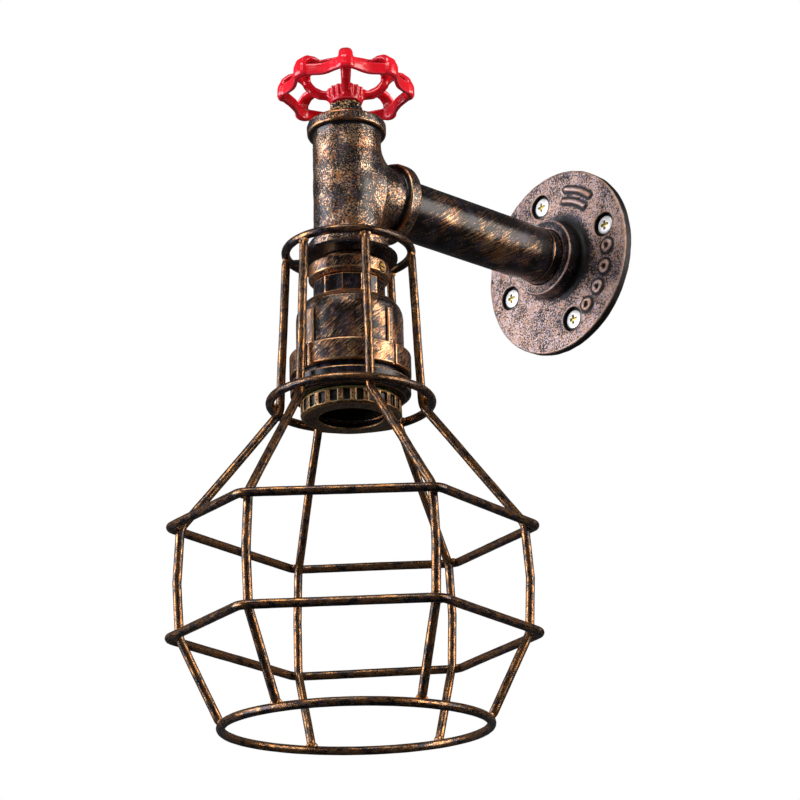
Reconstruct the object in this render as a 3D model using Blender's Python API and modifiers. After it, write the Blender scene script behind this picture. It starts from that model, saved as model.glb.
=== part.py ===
"""Pipe-fitting wall lamp: cast wall flange, steel pipe arm and malleable tee, with a red handwheel above
the tee and a lampholder in a wire cage below it.

Metres, +Z up. The origin is the centre of the flange's back face, on the wall (the plane y = 0). The arm
leaves the wall along -Y, and the tee, handwheel, lampholder and cage stand on one vertical axis.
"""

import math

import bpy
import bmesh
from mathutils import Matrix, Vector

MM = 0.001
GAP = 0.3 * MM  # clearance between pieces that touch
EDGE = 0.4 * MM  # chamfer on the edges of the castings

# Wall flange
FLANGE_R = 47.6 * MM
FLANGE_T = 5.0 * MM
BOSS_R = 19.3 * MM
BOSS_H = 14.5 * MM  # from the wall to the boss's end face
BOSS_FILLET = 3.0 * MM
BOLT_CIRCLE_R = 34.7 * MM
BOLT_TILT = math.radians(15)  # the four screws are turned this far from the cross position
COUNTERBORE_R = 6.2 * MM
COUNTERBORE_DEPTH = 3.0 * MM
SCREW_HEAD_R = 4.7 * MM
SCREW_HEAD_H = 2.0 * MM
SCREW_SHANK_R = 2.3 * MM
CROSS_L, CROSS_W, CROSS_DEPTH = 5.0 * MM, 1.1 * MM, 1.1 * MM  # the screw's recess

# Pipe and tee, 3/4 inch (DN20)
PIPE_R = 14.0 * MM
PIPE_BORE_R = 11.0 * MM
TEE_AXIS_Y = -141.8 * MM
TEE_CENTRE_TO_END = 33.0 * MM
TEE_BODY_R = 15.9 * MM
BEAD_R = 18.5 * MM
BEAD_W = 5.4 * MM
BRANCH_CENTRE_TO_END = 29.4 * MM  # the branch is shorter than the run, with a heavier bead
BRANCH_BEAD_R = 19.3 * MM
BRANCH_BEAD_W = 6.2 * MM
SOCKET_R = PIPE_R + GAP
SOCKET_DEPTH = 13.0 * MM
BRANCH_SOCKET_DEPTH = 10.5 * MM
TEE_BORE_R = 11.4 * MM

# Handwheel and its stem
STEM_R = 3.0 * MM
COLLAR_R = 7.3 * MM
HUB_BOTTOM = 44.2 * MM
HUB_TOP = 51.4 * MM
HUB_R = 8.6 * MM
NUT_RECESS_R = 5.2 * MM
NUT_RECESS_FLOOR = 47.2 * MM
WHEEL_R = 31.8 * MM
WHEEL_BASE = 47.6 * MM  # lower edge of the rim
RIM_H, RIM_T = 5.3 * MM, 2.6 * MM
CROWN_R, CROWN_BORE_R, CROWN_H = 21.5 * MM, 17.0 * MM, 2.6 * MM  # the ring that the knuckles lean on
CROWN_LIFT = 10.4 * MM  # from the rim's lower edge to the crown's middle
KNUCKLE_W, KNUCKLE_T = 6.4 * MM, 2.8 * MM
SPOKE_W, SPOKE_T = 5.4 * MM, 4.2 * MM
# Middle lines of a knuckle and a spoke, in mm: radius, and height above the rim's lower edge
KNUCKLE = ((30.2, 1.0), (30.0, 5.0), (27.6, 10.0), (23.2, 11.6), (18.6, 10.6))
SPOKE = ((7.0, 0.6), (11.0, 0.9), (14.6, 2.2), (17.0, 5.6), (19.0, 9.6))
LOBES = 8
LOBE_PHASE = math.radians(5)  # one of the rim's points
SPOKES = 4
SPOKE_PHASE = math.radians(50)  # a spoke stands under every second point

# Cage of round wire. Heights are on the lamp axis, radii to the wire's centre.
WIRE_R = 2.0 * MM
TOP_RING_R, TOP_RING_Z = 28.8 * MM, -32.0 * MM
NECK_RING_R, NECK_RING_Z = 36.2 * MM, -104.8 * MM
HEX_R = 80.5 * MM
UPPER_HEX_Z, LOWER_HEX_Z = -163.5 * MM, -212.0 * MM
MOUTH_RING_R, MOUTH_RING_Z = 57.4 * MM, -250.0 * MM
HEX_BEND_R = 7.0 * MM
UPPER_HEX_LEAN = 2.6 * MM  # the upper hexagon is welded in out of level, rising this much towards
UPPER_HEX_LEAN_ANGLE = math.radians(157)  # this side
RIB_BEND_R = 9.0 * MM
NECK_BEND_DROP = 2.6 * MM  # the ribs flare out just below the neck ring
RIB_BOW = 1.4 * MM  # the ribs bow out between the hexagons
RIB_END_LIFT = 1.1 * MM  # a rib's slanted end stands this far above the mouth ring
# The ribs are bent by hand, so each rib has its own angle at the neck, the hexagons and the mouth.
RIB_ANGLES = (
    (44, 45, 42),
    (97, 103.5, 100),
    (168, 160, 160),
    (224, 235, 234),
    (276, 285, 286),
    (335, 345.5, 347),
)

# Lampholder, from its clamping plate down to the ring nut
PLATE_R = 22.5 * MM
PLATE_TOP = TOP_RING_Z - WIRE_R - GAP
PLATE_T = 1.2 * MM
NIPPLE_R = 5.0 * MM
NIPPLE_BORE_R = 3.8 * MM
CAP_TOP = -39.5 * MM
CAP_BOTTOM = -47.2 * MM
CAP_R = 18.5 * MM
NECK_BOTTOM = -56.3 * MM
NECK_R = 16.6 * MM
SHELL_BOTTOM = -95.6 * MM
SHELL_R = 24.3 * MM
SHELL_WALL = 2.2 * MM
SHELL_RIBS = 4
SHELL_RIB_ANGLE = math.radians(5.5)
SHELL_RIB_TOP, SHELL_RIB_W = -66.0 * MM, 3.2 * MM
BAND_SEAM_W = 1.8 * MM
BAND_TOP, BAND_BOTTOM, BAND_R = -82.8 * MM, -93.2 * MM, 27.4 * MM
SKIRT_TOP, SKIRT_BOTTOM, SKIRT_R = -95.9 * MM, -103.2 * MM, 27.1 * MM
BARREL_R, BARREL_BORE_R, BARREL_BOTTOM = 18.6 * MM, 15.6 * MM, -109.0 * MM
NUT_TOP, NUT_BOTTOM, NUT_R = -104.8 * MM, -112.0 * MM, 22.6 * MM
NOTCH_W, NOTCH_H, NOTCH_DEPTH, NOTCH_Z = 3.3 * MM, 5.2 * MM, 1.2 * MM, -107.9 * MM
MOUTH_R = 14.6 * MM
NUT_NOTCHES = 24
SCREW_SHELL_R, SCREW_SHELL_WALL = 14.2 * MM, 0.6 * MM
RIVET_X = -8.2 * MM  # the centre contact bends here, beside the lamp axis
LEAD_R = 1.2 * MM
LEAD_OFFSET = 1.8 * MM

ROUND = 32  # sides of a turned piece

for old in list(bpy.data.objects):
    bpy.data.objects.remove(old, do_unlink=True)

lamp = bpy.data.collections.new("pipe_wall_lamp")
cutters = bpy.data.collections.new("cutters")
cutters.hide_render = True
for group in (lamp, cutters):
    bpy.context.scene.collection.children.link(group)


def material(name, colour, roughness, metallic):
    made = bpy.data.materials.new(name)
    made.use_nodes = True
    shader = made.node_tree.nodes["Principled BSDF"]
    shader.inputs["Base Color"].default_value = (*colour, 1)
    shader.inputs["Roughness"].default_value = roughness
    shader.inputs["Metallic"].default_value = metallic
    made.diffuse_color = (*colour, 1)
    return made


CAST = material("antique_bronze_cast", (0.16, 0.09, 0.06), 0.5, 0.8)
BRUSHED = material("antique_bronze_brushed", (0.20, 0.11, 0.07), 0.4, 0.9)
WIRE = material("antique_bronze_wire", (0.22, 0.12, 0.07), 0.4, 0.8)
ENAMEL = material("red_enamel", (0.72, 0.01, 0.03), 0.15, 0.0)
NICKEL = material("nickel_steel", (0.75, 0.74, 0.70), 0.25, 1.0)
BRASS = material("brass", (0.72, 0.52, 0.22), 0.3, 1.0)
CERAMIC = material("white_ceramic", (0.85, 0.84, 0.80), 0.4, 0.0)
FIBRE = material("fibre_washer", (0.38, 0.36, 0.12), 0.7, 0.0)
LIVE_SLEEVE = material("brown_sleeve", (0.20, 0.09, 0.04), 0.5, 0.0)
NEUTRAL_SLEEVE = material("blue_sleeve", (0.05, 0.12, 0.45), 0.5, 0.0)


def settle(obj, finish, group=lamp, sharp=30):
    """Links the object, gives it its finish, and shades its round sides smooth."""
    group.objects.link(obj)
    if group is cutters:
        obj.hide_render = True
        obj.display_type = "WIRE"
        return obj
    obj.data.materials.clear()
    obj.data.materials.append(finish)
    if obj.type == "MESH":
        obj.data.shade_smooth()
        obj.data.set_sharp_from_angle(angle=math.radians(sharp))
    return obj


def turned(name, profile, finish, place=(0, 0, 0), closed=False, steps=ROUND, turn=(0, 0, 0), group=lamp):
    """A turned piece from (radius, height) points down its outer side. A closed profile is a ring."""
    mesh = bpy.data.meshes.new(name)
    outline = bmesh.new()
    points = [outline.verts.new((radius, 0, height)) for radius, height in profile]
    for first, second in zip(points, points[1:]):
        outline.edges.new((first, second))
    if closed:
        outline.edges.new((points[-1], points[0]))
    outline.to_mesh(mesh)
    outline.free()
    obj = bpy.data.objects.new(name, mesh)
    obj.location = place
    obj.rotation_euler = turn
    screw = obj.modifiers.new("turn", "SCREW")
    screw.steps = steps
    screw.render_steps = steps
    screw.use_merge_vertices = True
    screw.merge_threshold = 1e-6
    screw.use_smooth_shade = True
    return settle(obj, finish, group)


def ring(name, outer, inner, top, bottom, finish, place=(0, 0, 0), steps=ROUND, chamfer=0.0, **where):
    """A plain washer, tube or collar, with its outer edges chamfered."""
    profile = [(inner, top), (outer - chamfer, top), (outer, top - chamfer), (outer, bottom + chamfer)]
    profile += [(outer - chamfer, bottom), (inner, bottom)]
    if not chamfer:
        profile = [(inner, top), (outer, top), (outer, bottom), (inner, bottom)]
    return turned(name, profile, finish, place, closed=True, steps=steps, **where)


def plug(name, radius, top, bottom, place=(0, 0, 0), turn=(0, 0, 0), steps=ROUND):
    """A plain round cutter."""
    profile = [(0, top), (radius, top), (radius, bottom), (0, bottom)]
    return turned(name, profile, None, place, turn=turn, steps=steps, group=cutters)


def block(name, size, place, turn=0.0):
    """A box cutter turned about the vertical."""
    mesh = bpy.data.meshes.new(name)
    made = bmesh.new()
    bmesh.ops.create_cube(made, size=1, matrix=Matrix.Diagonal((*size, 1)))
    made.to_mesh(mesh)
    made.free()
    obj = bpy.data.objects.new(name, mesh)
    obj.location = place
    obj.rotation_euler = (0, 0, turn)
    return settle(obj, None, cutters)


def boolean(obj, other, operation="DIFFERENCE"):
    step = obj.modifiers.new(other.name, "BOOLEAN")
    step.operation = operation
    step.object = other
    return obj


def flat_outline(name, loops, thickness, finish, group=lamp):
    """A flat piece from closed outlines in its own XY plane, as a mesh centred on that plane."""
    curve = bpy.data.curves.new(name, "CURVE")
    curve.dimensions = "2D"
    curve.fill_mode = "BOTH"
    curve.extrude = thickness / 2
    for loop in loops:
        spline = curve.splines.new("POLY")
        spline.points.add(len(loop) - 1)
        for point, (x, y) in zip(spline.points, loop):
            point.co = (x, y, 0, 1)
        spline.use_cyclic_u = True
    return as_mesh(name, curve, finish, group)


def as_mesh(name, curve, finish, group=lamp):
    """The solid that a curve makes, with its caps welded on."""
    drawn = bpy.data.objects.new(name + "_curve", curve)
    bpy.context.scene.collection.objects.link(drawn)
    graph = bpy.context.evaluated_depsgraph_get()
    mesh = bpy.data.meshes.new_from_object(drawn.evaluated_get(graph))
    matrix = drawn.matrix_world.copy()
    bpy.data.objects.remove(drawn, do_unlink=True)
    solid = bmesh.new()
    solid.from_mesh(mesh)
    bmesh.ops.remove_doubles(solid, verts=solid.verts, dist=1e-6)
    bmesh.ops.recalc_face_normals(solid, faces=solid.faces)
    solid.to_mesh(mesh)
    solid.free()
    mesh.name = name
    obj = bpy.data.objects.new(name, mesh)
    obj.matrix_world = matrix
    return settle(obj, finish, group)


def rod(name, points, radius, finish, cyclic=False, sides=2):
    """A round wire or lead along the points."""
    curve = bpy.data.curves.new(name, "CURVE")
    curve.dimensions = "3D"
    curve.bevel_depth = radius
    curve.bevel_resolution = sides
    curve.use_fill_caps = not cyclic
    spline = curve.splines.new("POLY")
    spline.points.add(len(points) - 1)
    for point, place in zip(spline.points, points):
        point.co = (*place, 1)
    spline.use_cyclic_u = cyclic
    return as_mesh(name, curve, finish)


def rounded(points, radius, cyclic=False, steps=3):
    """The same route with each corner bent to the radius."""
    made = []
    count = len(points)
    for i, here in enumerate(points):
        if not cyclic and i in (0, count - 1):
            made.append(Vector(here))
            continue
        here = Vector(here)
        before = (Vector(points[i - 1]) - here).normalized()
        after = (Vector(points[(i + 1) % count]) - here).normalized()
        half = before.angle(after) / 2
        reach = radius / math.tan(half)
        centre = here + (before + after).normalized() * (radius / math.sin(half))
        start = (here + before * reach - centre).normalized()
        end = (here + after * reach - centre).normalized()
        made += [centre + start.slerp(end, k / steps) * radius for k in range(steps + 1)]
    return made


def polar(radius, angle, height=0.0, centre_y=TEE_AXIS_Y):
    return Vector((radius * math.cos(angle), centre_y + radius * math.sin(angle), height))


AXIS = (0, TEE_AXIS_Y, 0)
OUT_OF_WALL = (math.radians(90), 0, 0)  # turns a piece's own +Z to point out of the wall, along -Y


def bolt_place(index, depth):
    angle = BOLT_TILT + index * math.pi / 2
    return Vector((BOLT_CIRCLE_R * math.cos(angle), -depth, BOLT_CIRCLE_R * math.sin(angle)))


def wall_flange():
    fillet_top = FLANGE_T + BOSS_FILLET
    profile = [(SOCKET_R, BOSS_H), (BOSS_R - EDGE, BOSS_H), (BOSS_R, BOSS_H - EDGE)]
    for step in range(4):
        angle = math.pi + step * math.pi / 6
        profile.append(
            (
                BOSS_R + BOSS_FILLET + BOSS_FILLET * math.cos(angle),
                fillet_top + BOSS_FILLET * math.sin(angle),
            )
        )
    profile += [(FLANGE_R - EDGE, FLANGE_T), (FLANGE_R, FLANGE_T - EDGE)]
    profile += [(FLANGE_R, 0), (SOCKET_R, 0)]
    flange = turned("wall_flange", profile, CAST, closed=True, steps=40, turn=OUT_OF_WALL)
    seat = FLANGE_T - COUNTERBORE_DEPTH
    through = SCREW_SHANK_R + 0.5 * MM
    stepped = [(0, 9 * MM), (COUNTERBORE_R, 9 * MM), (COUNTERBORE_R, seat), (through, seat)]
    stepped += [(through, -3 * MM), (0, -3 * MM)]
    for index in range(4):
        place = bolt_place(index, 0)
        name = f"flange_hole_{index + 1}"
        boolean(flange, turned(name, stepped, None, place, turn=OUT_OF_WALL, steps=16, group=cutters))


def wall_screw(index):
    """A cross-head screw whose head sits in the flange's counterbore."""
    seat = FLANGE_T - COUNTERBORE_DEPTH + GAP
    head = seat + SCREW_HEAD_H
    profile = [(0, head), (SCREW_HEAD_R * 0.6, head - 0.2 * MM), (SCREW_HEAD_R, head - 0.9 * MM)]
    profile += [(SCREW_HEAD_R, seat), (SCREW_SHANK_R, seat), (SCREW_SHANK_R, GAP), (0, GAP)]
    name = f"wall_screw_{index + 1}"
    screw = turned(name, profile, NICKEL, bolt_place(index, 0), steps=20, turn=OUT_OF_WALL)
    for arm, (width, height) in enumerate(((CROSS_L, CROSS_W), (CROSS_W, CROSS_L))):
        size = (width, 2 * CROSS_DEPTH, height)
        boolean(screw, block(f"{name}_slot_{arm + 1}", size, bolt_place(index, head)))


def arm_pipe():
    near, far = 3.0 * MM, -TEE_AXIS_Y - BRANCH_CENTRE_TO_END + BRANCH_SOCKET_DEPTH - GAP
    ring("arm_pipe", PIPE_R, PIPE_BORE_R, far, near, BRUSHED, turn=OUT_OF_WALL)


def tee_end(end, bead_r, bead_w):
    """The outline of one end of the tee, from the middle of its end face to the body behind the bead."""
    back = end - bead_w
    outline = [(0, end), (bead_r - 2 * EDGE, end), (bead_r, end - 2 * EDGE), (bead_r, back + 2 * EDGE)]
    return outline + [(bead_r - 2 * EDGE, back), (TEE_BODY_R, back - 1.5 * EDGE)]


def socket(end, depth):
    """The outline of a threaded socket and the bore behind it, as a cutter."""
    shoulder = end - depth
    return [(0, end + 5 * MM), (SOCKET_R, end + 5 * MM), (SOCKET_R, shoulder), (TEE_BORE_R, shoulder)]


def tee():
    sideways = (-math.pi / 2, 0, 0)
    upper = tee_end(TEE_CENTRE_TO_END, BEAD_R, BEAD_W)
    body = turned("tee", upper + [(radius, -height) for radius, height in reversed(upper)], CAST, AXIS)
    outline = tee_end(BRANCH_CENTRE_TO_END, BRANCH_BEAD_R, BRANCH_BEAD_W) + [(TEE_BODY_R, 0), (0, 0)]
    boolean(body, turned("tee_branch", outline, None, AXIS, turn=sideways, group=cutters), "UNION")
    half = socket(TEE_CENTRE_TO_END, SOCKET_DEPTH)
    run = half + [(radius, -height) for radius, height in reversed(half)]
    boolean(body, turned("tee_run_bore", run, None, AXIS, group=cutters))
    side = socket(BRANCH_CENTRE_TO_END, BRANCH_SOCKET_DEPTH) + [(TEE_BORE_R, 0), (0, 0)]
    boolean(body, turned("tee_branch_bore", side, None, AXIS, turn=sideways, group=cutters))


def hexagon(name, radius, bore, top, bottom, finish, sides=6, turn=0.0):
    """A nut, or a neck with flats."""
    outline = [(0, top), (radius, top), (radius, bottom), (0, bottom)]
    nut = turned(name, outline, finish, AXIS, steps=sides, turn=(0, 0, turn))
    return boolean(nut, plug(name + "_bore", bore, top + 5 * MM, bottom - 5 * MM, AXIS, steps=24))


def stem_group():
    top = TEE_CENTRE_TO_END - 0.6 * MM
    shoulder = TEE_CENTRE_TO_END - SOCKET_DEPTH + GAP
    ring("top_plug", PIPE_R, STEM_R + GAP, top, shoulder, CAST, AXIS)
    collar_top = HUB_BOTTOM - GAP
    ring("stem_collar", COLLAR_R, STEM_R + GAP, collar_top, top + GAP, CAST, AXIS, steps=20, chamfer=0.5 * MM)
    head_r, head_top = 5.4 * MM, shoulder - GAP
    thread_r, thread_bottom = 2.0 * MM, NUT_RECESS_FLOOR
    stem = [(0, HUB_TOP), (thread_r, HUB_TOP), (thread_r, thread_bottom), (STEM_R, thread_bottom)]
    stem += [(STEM_R, head_top), (head_r, head_top), (head_r, head_top - 4 * MM), (0, head_top - 4 * MM)]
    turned("valve_stem", stem, NICKEL, AXIS, steps=24)
    washer_top = NUT_RECESS_FLOOR + GAP + 0.6 * MM
    bore = thread_r + GAP
    ring("wheel_washer", 4.6 * MM, bore, washer_top, NUT_RECESS_FLOOR + GAP, NICKEL, AXIS, steps=28)
    hexagon("wheel_nut", 4.0 * MM, bore, HUB_TOP - 0.6 * MM, washer_top + GAP, NICKEL)


def lobed(radius, depth, count=LOBES, steps=4):
    """A closed outline with pointed lobes: arcs that sag inwards between the points."""
    outline = []
    for lobe in range(count):
        for step in range(steps):
            share = step / steps
            angle = LOBE_PHASE + (lobe + share) * math.tau / count
            sag = depth * math.sin(math.pi * share) ** 1.2
            outline.append((radius * (1 - sag) * math.cos(angle), radius * (1 - sag) * math.sin(angle)))
    return outline


def strap(name, route, width, thickness, angle, finish=None, group=None):
    """A flat bar of even thickness along (radius, height) points, in the radial plane at the angle."""
    left, right = [], []
    for i, here in enumerate(route):
        before, after = Vector(route[max(i - 1, 0)]), Vector(route[min(i + 1, len(route) - 1)])
        along = (after - before).normalized()
        side = Vector((-along.y, along.x)) * thickness / 2
        left.append(tuple(Vector(here) + side))
        right.append(tuple(Vector(here) - side))
    bar = flat_outline(name, [left + right[::-1]], width, finish, group or cutters)
    upright = Matrix.Rotation(angle, 4, "Z") @ Matrix.Rotation(math.pi / 2, 4, "X")
    bar.matrix_world = Matrix.Translation(AXIS) @ upright
    return bar


def handwheel():
    """Cast wheel: dished spokes rise from the hub to a crown ring, which knuckles join to the lobed rim."""
    bore = STEM_R + 0.1 * MM
    hub = [(NUT_RECESS_R, HUB_TOP), (HUB_R - 2 * EDGE, HUB_TOP), (HUB_R, HUB_TOP - 2 * EDGE)]
    hub += [(HUB_R, HUB_BOTTOM), (bore, HUB_BOTTOM), (bore, NUT_RECESS_FLOOR)]
    hub += [(NUT_RECESS_R, NUT_RECESS_FLOOR)]
    wheel = turned("handwheel", hub, ENAMEL, AXIS, closed=True, steps=32)
    sides = [lobed(WHEEL_R, 0.12), lobed(WHEEL_R - RIM_T, 0.12)]
    rim = flat_outline("wheel_rim", sides, RIM_H, None, cutters)
    rim.location = (0, TEE_AXIS_Y, WHEEL_BASE + RIM_H / 2)
    boolean(wheel, rim, "UNION")
    sides = [lobed(CROWN_R, 0.1), lobed(CROWN_BORE_R, 0.06)]
    crown = flat_outline("wheel_crown", sides, CROWN_H, None, cutters)
    crown.location = (0, TEE_AXIS_Y, WHEEL_BASE + CROWN_LIFT)
    boolean(wheel, crown, "UNION")
    for lobe in range(LOBES):
        angle = LOBE_PHASE + lobe * math.tau / LOBES
        route = [(radius * MM, WHEEL_BASE + height * MM) for radius, height in KNUCKLE]
        boolean(wheel, strap(f"wheel_knuckle_{lobe + 1}", route, KNUCKLE_W, KNUCKLE_T, angle), "UNION")
    for number in range(SPOKES):
        angle = SPOKE_PHASE + number * math.tau / SPOKES
        route = [(radius * MM, WHEEL_BASE + height * MM) for radius, height in SPOKE]
        boolean(wheel, strap(f"wheel_spoke_{number + 1}", route, SPOKE_W, SPOKE_T, angle), "UNION")


def cage():
    for name, radius, height in (
        ("cage_top_ring", TOP_RING_R, TOP_RING_Z),
        ("cage_neck_ring", NECK_RING_R, NECK_RING_Z),
        ("cage_mouth_ring", MOUTH_RING_R, MOUTH_RING_Z),
    ):
        bpy.ops.mesh.primitive_torus_add(
            major_radius=radius,
            minor_radius=WIRE_R,
            major_segments=40,
            minor_segments=8,
            location=(0, TEE_AXIS_Y, height),
        )
        torus = bpy.context.object
        torus.name = name
        for holder in list(torus.users_collection):
            holder.objects.unlink(torus)
        settle(torus, WIRE)
    for name, height in (("cage_upper_hexagon", UPPER_HEX_Z), ("cage_lower_hexagon", LOWER_HEX_Z)):
        lean = UPPER_HEX_LEAN if height == UPPER_HEX_Z else 0
        corners = []
        for _, corner, _ in RIB_ANGLES:
            angle = math.radians(corner)
            corners.append(polar(HEX_R, angle, height + lean * math.cos(angle - UPPER_HEX_LEAN_ANGLE)))
        rod(name, rounded(corners, HEX_BEND_R, cyclic=True), WIRE_R, WIRE, cyclic=True)
    step_in = 2 * WIRE_R + GAP  # the ribs run inside the neck ring and the hexagons
    corner_in = step_in + HEX_BEND_R * 0.17  # the bent corner cuts inside its own point
    for number, angles in enumerate(RIB_ANGLES):
        neck, corner, mouth = (math.radians(angle) for angle in angles)
        route = [
            polar(TOP_RING_R, neck, TOP_RING_Z - WIRE_R - GAP),
            polar(NECK_RING_R - step_in, neck, NECK_RING_Z - NECK_BEND_DROP),
            polar(HEX_R - corner_in, corner, UPPER_HEX_Z),
            polar(HEX_R - corner_in + RIB_BOW, corner, (UPPER_HEX_Z + LOWER_HEX_Z) / 2),
            polar(HEX_R - corner_in, corner, LOWER_HEX_Z),
            polar(MOUTH_RING_R, mouth, MOUTH_RING_Z + WIRE_R + RIB_END_LIFT),
        ]
        rod(f"cage_rib_{number + 1}", rounded(route, RIB_BEND_R), WIRE_R, WIRE)


def cage_plate():
    """The disc that the lampholder clamps, with three tabs out to the top ring."""
    top, bottom = PLATE_TOP, PLATE_TOP - PLATE_T
    plate = ring("cage_plate", PLATE_R, NIPPLE_R + GAP, top, bottom, CAST, AXIS, steps=36)
    tab_end = TOP_RING_R - WIRE_R - GAP
    tab_start = PLATE_R - 1.5 * MM
    for number, (neck, _, _) in enumerate(RIB_ANGLES[1::2]):
        angle = math.radians(neck)
        size = (tab_end - tab_start, 3.2 * MM, PLATE_T)
        middle = polar((tab_start + tab_end) / 2, angle, (top + bottom) / 2)
        boolean(plate, block(f"plate_tab_{number + 1}", size, middle, angle), "UNION")
    end = -TEE_CENTRE_TO_END
    ring("plate_gasket", 16.0 * MM, NIPPLE_R + GAP, end - GAP, top + GAP, FIBRE, AXIS)
    ring("lower_bush", PIPE_R, NIPPLE_R + GAP, end + SOCKET_DEPTH - GAP, end, CAST, AXIS)
    ring("lamp_nipple", NIPPLE_R, NIPPLE_BORE_R, -14.5 * MM, -62.4 * MM, BRASS, AXIS, steps=24)
    hexagon("nipple_nut_upper", 8.2 * MM, NIPPLE_R + GAP, -15.2 * MM, -19.4 * MM, BRASS)
    hexagon("nipple_nut_lower", 8.2 * MM, NIPPLE_R + GAP, -59.2 * MM, -61.8 * MM, BRASS)


def lampholder():
    plate_bottom = PLATE_TOP - PLATE_T
    cap = [(NIPPLE_R + GAP, plate_bottom - GAP), (13.0 * MM, plate_bottom - GAP), (13.0 * MM, CAP_TOP)]
    cap += [(CAP_R - 0.7 * MM, CAP_TOP), (CAP_R, CAP_TOP - 0.7 * MM), (CAP_R, CAP_BOTTOM + 1.6 * MM)]
    cap += [(CAP_R - 1.8 * MM, CAP_BOTTOM), (NIPPLE_R + GAP, CAP_BOTTOM)]
    holder_cap = turned("holder_cap", cap, BRUSHED, AXIS, closed=True)
    screw_angle = math.radians(15)
    screw_height = -43.2 * MM
    sideways = (0, math.pi / 2, screw_angle)
    hole = plug("set_screw_hole", 2.3 * MM, 30 * MM, 11 * MM, (0, TEE_AXIS_Y, screw_height), sideways, 16)
    boolean(holder_cap, hole)
    screw = [(0, 18.7 * MM), (1.9 * MM, 18.7 * MM), (1.9 * MM, 11.4 * MM), (0, 11.4 * MM)]
    set_screw = turned("set_screw", screw, BRASS, (0, TEE_AXIS_Y, screw_height), steps=16, turn=sideways)
    slot_at = polar(18.8 * MM, screw_angle, screw_height)
    boolean(set_screw, block("set_screw_slot", (2 * MM, 6 * MM, 0.7 * MM), slot_at, screw_angle))

    neck_top, turn = CAP_BOTTOM - GAP, math.radians(9)
    hexagon("holder_neck", NECK_R, NIPPLE_R + GAP, neck_top, NECK_BOTTOM, BRUSHED, sides=12, turn=turn)

    inner = SHELL_R - SHELL_WALL
    shoulder = [(0.66, -56.6), (0.72, -56.8), (0.84, -58.0), (0.93, -60.0), (0.98, -62.6), (1.0, -65.5)]
    shell = [(NIPPLE_R + GAP, -56.6 * MM)] + [(SHELL_R * share, height * MM) for share, height in shoulder]
    shell += [(SHELL_R, SHELL_BOTTOM), (inner, SHELL_BOTTOM), (inner, -66.0 * MM), (inner * 0.9, -60.6 * MM)]
    shell += [(inner * 0.74, -58.9 * MM), (NIPPLE_R + GAP, -58.9 * MM)]
    holder_shell = turned("holder_shell", shell, BRUSHED, AXIS, closed=True)
    bore, chamfer = SHELL_R + GAP, 0.7 * MM
    band = ring("clamp_band", BAND_R, bore, BAND_TOP, BAND_BOTTOM, BRUSHED, AXIS, steps=40, chamfer=chamfer)
    top, bottom = SHELL_RIB_TOP, BAND_TOP + GAP
    rib_size = (SHELL_RIB_W, SHELL_RIB_W, top - bottom)
    for number in range(SHELL_RIBS):
        angle = SHELL_RIB_ANGLE + number * math.tau / SHELL_RIBS
        rib_at = polar(SHELL_R - 0.4 * MM, angle, (top + bottom) / 2)
        boolean(holder_shell, block(f"shell_rib_{number + 1}", rib_size, rib_at, angle), "UNION")
        seam_at = polar(BAND_R + 0.3 * MM, angle, (BAND_TOP + BAND_BOTTOM) / 2)
        boolean(band, block(f"band_seam_{number + 1}", (3 * MM, BAND_SEAM_W, 14 * MM), seam_at, angle))

    skirt = [(BARREL_BORE_R, SKIRT_TOP), (SKIRT_R - 0.8 * MM, SKIRT_TOP), (SKIRT_R, SKIRT_TOP - 0.8 * MM)]
    skirt += [(SKIRT_R, SKIRT_BOTTOM + 2 * MM), (SKIRT_R - 2.4 * MM, SKIRT_BOTTOM), (BARREL_R, SKIRT_BOTTOM)]
    skirt += [(BARREL_R, BARREL_BOTTOM), (BARREL_BORE_R, BARREL_BOTTOM)]
    turned("holder_skirt", skirt, BRUSHED, AXIS, closed=True)

    washer_top = SKIRT_BOTTOM - GAP
    bore = BARREL_R + 0.25 * MM
    ring("ring_washer", 21.2 * MM, bore, washer_top, NUT_TOP + GAP, FIBRE, AXIS)
    lip = BARREL_BOTTOM - 0.6 * MM
    nut = [(bore, NUT_TOP), (NUT_R - 0.6 * MM, NUT_TOP), (NUT_R, NUT_TOP - 0.6 * MM)]
    nut += [(NUT_R, NUT_BOTTOM + 1.2 * MM), (NUT_R - 1.2 * MM, NUT_BOTTOM)]
    nut += [(MOUTH_R, NUT_BOTTOM), (MOUTH_R, lip), (bore, lip)]
    ring_nut = turned("ring_nut", nut, BRUSHED, AXIS, closed=True, steps=40)
    notch_size = (2 * NOTCH_DEPTH, NOTCH_W, NOTCH_H)
    for number in range(NUT_NOTCHES):
        angle = number * math.tau / NUT_NOTCHES
        notch = block(f"nut_notch_{number + 1}", notch_size, polar(NUT_R, angle, NOTCH_Z), angle)
        boolean(ring_nut, notch)


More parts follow.
